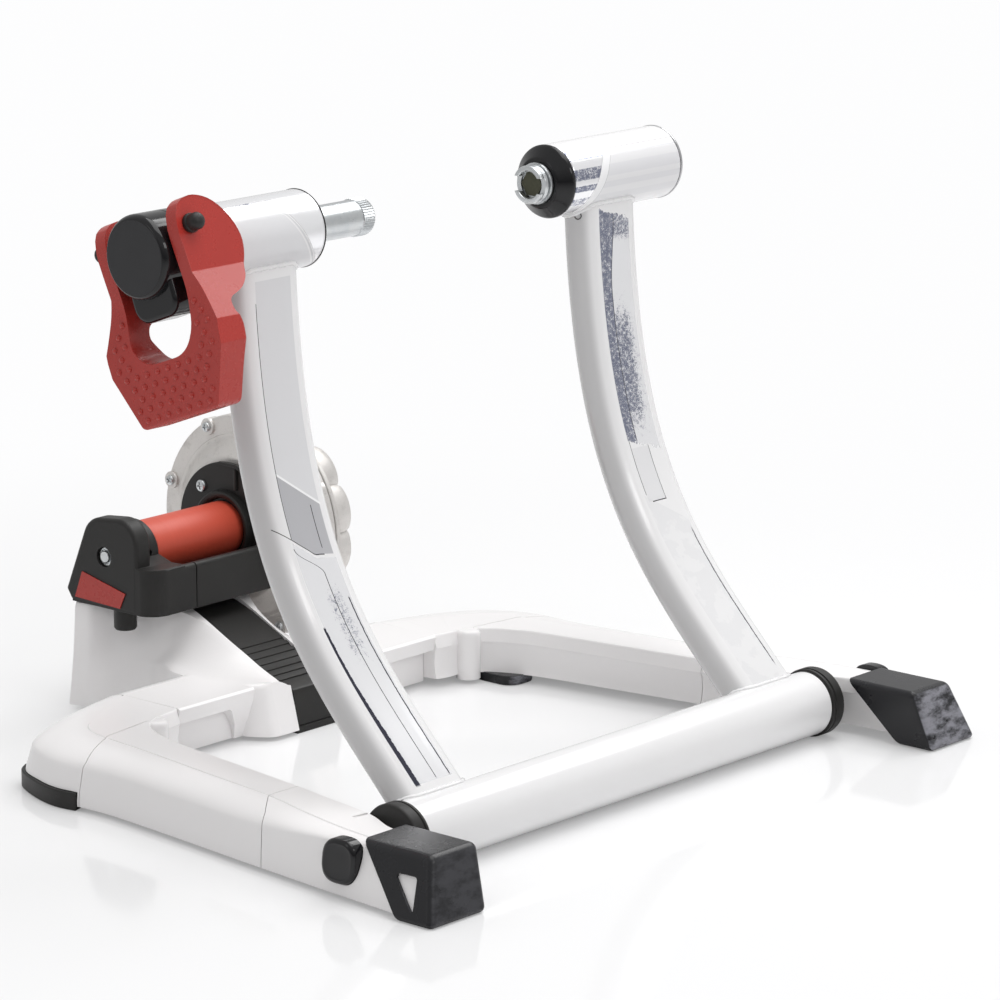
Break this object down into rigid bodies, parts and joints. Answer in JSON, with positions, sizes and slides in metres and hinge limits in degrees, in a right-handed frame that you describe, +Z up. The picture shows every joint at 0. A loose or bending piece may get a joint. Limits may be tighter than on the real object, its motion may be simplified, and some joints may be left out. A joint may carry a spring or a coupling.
{
  "type": "fluid bike trainer",
  "caption": "Folding bike trainer: A-frame uprights clamp the rear axle above a plastic base whose roller drives a round fluid brake, with a pull lever on one side",
  "frame": {"origin": "centre of the footprint on the floor", "axes": "+Z is up, +X runs along the wheel axle from the lever side to the adjuster side, +Y runs from the pivot tube towards the roller"},
  "size_m": [0.554, 0.5644, 0.4132],
  "materials": {
    "white_plastic": "white semi-gloss moulded plastic",
    "white_paint": "white gloss paint on steel tube",
    "black_plastic": "black satin moulded plastic",
    "gloss_black": "polished black plastic",
    "black_enamel": "black gloss enamel on a steel nut",
    "soft_black": "black rubber-like plastic",
    "red_paint": "red painted cast metal",
    "roller_red": "satin red roller skin",
    "zinc_steel": "zinc plated steel",
    "bare_steel": "ground steel",
    "cast_metal": "cast aluminium, sand-blasted grey"
  },
  "bodies": {
    "base": {"left_front_leg": "white_plastic", "right_front_leg": "white_plastic", "left_leg_sleeve": "white_plastic", "right_leg_sleeve": "white_plastic", "left_rear_corner": "white_plastic", "right_rear_corner": "white_plastic", "rear_bridge": "white_plastic", "ramp_plate": "black_plastic", "left_foot_boot": "soft_black", "right_foot_boot": "soft_black", "left_corner_strip": "black_plastic", "right_corner_strip": "black_plastic", "left_under_pad": "soft_black", "right_under_pad": "soft_black", "left_side_plug": "gloss_black", "right_side_plug": "gloss_black", "left_pivot_bushing": "black_plastic", "right_pivot_bushing": "black_plastic", "left_pivot_bolt": "zinc_steel", "right_pivot_bolt": "zinc_steel", "unit_end_casing": "black_plastic", "unit_roller_casing": "black_plastic", "left_bearing": "bare_steel", "right_bearing": "bare_steel", "shaft_seal": "soft_black", "roller_end_bolt": "zinc_steel", "brake_flange": "cast_metal", "brake_gasket": "soft_black", "brake_cover": "cast_metal", "casing_screw_1": "zinc_steel", "casing_screw_2": "zinc_steel", "flange_screw_1": "zinc_steel", "flange_screw_2": "zinc_steel", "flange_screw_3": "zinc_steel", "left_mounting_bolt": "zinc_steel", "right_mounting_bolt": "zinc_steel"},
    "roller": {"roller_sleeve": "roller_red", "roller_core": "cast_metal", "roller_shaft": "bare_steel", "impeller": "cast_metal"},
    "frame": {"cross_tube": "white_paint", "left_upright": "white_paint", "right_upright": "white_paint", "left_axle_housing": "white_paint", "left_inner_trim_ring": "gloss_black", "right_axle_housing": "white_paint", "right_outer_trim_ring": "bare_steel", "right_end_cap": "gloss_black", "clamp_head": "gloss_black", "clamp_spring": "bare_steel"},
    "lever": {"clamp_lever": "red_paint", "lever_pin": "zinc_steel", "near_pin_knob": "gloss_black", "far_pin_knob": "gloss_black", "lever_cam": "bare_steel"},
    "plunger": {"clamp_plunger": "zinc_steel", "plunger_cup": "zinc_steel"},
    "lock_ring": {"lock_ring": "black_enamel"},
    "adjuster": {"adjuster_screw": "zinc_steel", "axle_cup": "zinc_steel"}
  },
  "joints": [
    {"name": "frame_fold", "type": "hinge", "parent": "base", "child": "frame", "pos_m": [0, -0.19285, 0.0232], "axis": [1, 0, 0], "range_deg": [-39, 12]},
    {"name": "roller_spin", "type": "hinge", "parent": "base", "child": "roller", "pos_m": [0, 0.20365, 0.1123], "axis": [1, 0, 0], "continuous": true},
    {"name": "lever_turn", "type": "hinge", "parent": "frame", "child": "lever", "pos_m": [-0.25, -0.02586, 0.38433], "axis": [0, 0.9363, -0.3512], "range_deg": [0, 110]},
    {"name": "plunger_slide", "type": "slide", "parent": "frame", "child": "plunger", "axis": [1, 0, 0], "range_m": [-0.005, 0]},
    {"name": "lock_ring_turn", "type": "hinge", "parent": "frame", "child": "lock_ring", "pos_m": [0.111, -0.02955, 0.3745], "axis": [1, 0, 0], "range_deg": [0, 1080]},
    {"name": "cup_slide", "type": "slide", "parent": "frame", "child": "adjuster", "axis": [1, 0, 0], "range_m": [-0.006, 0]}
  ],
  "couplings": [
    {"joint": "plunger_slide", "follows": "lever_turn", "m_per_rad": -0.0026},
    {"joint": "cup_slide", "follows": "lock_ring_turn", "m_per_rad": -0.000318}
  ]
}
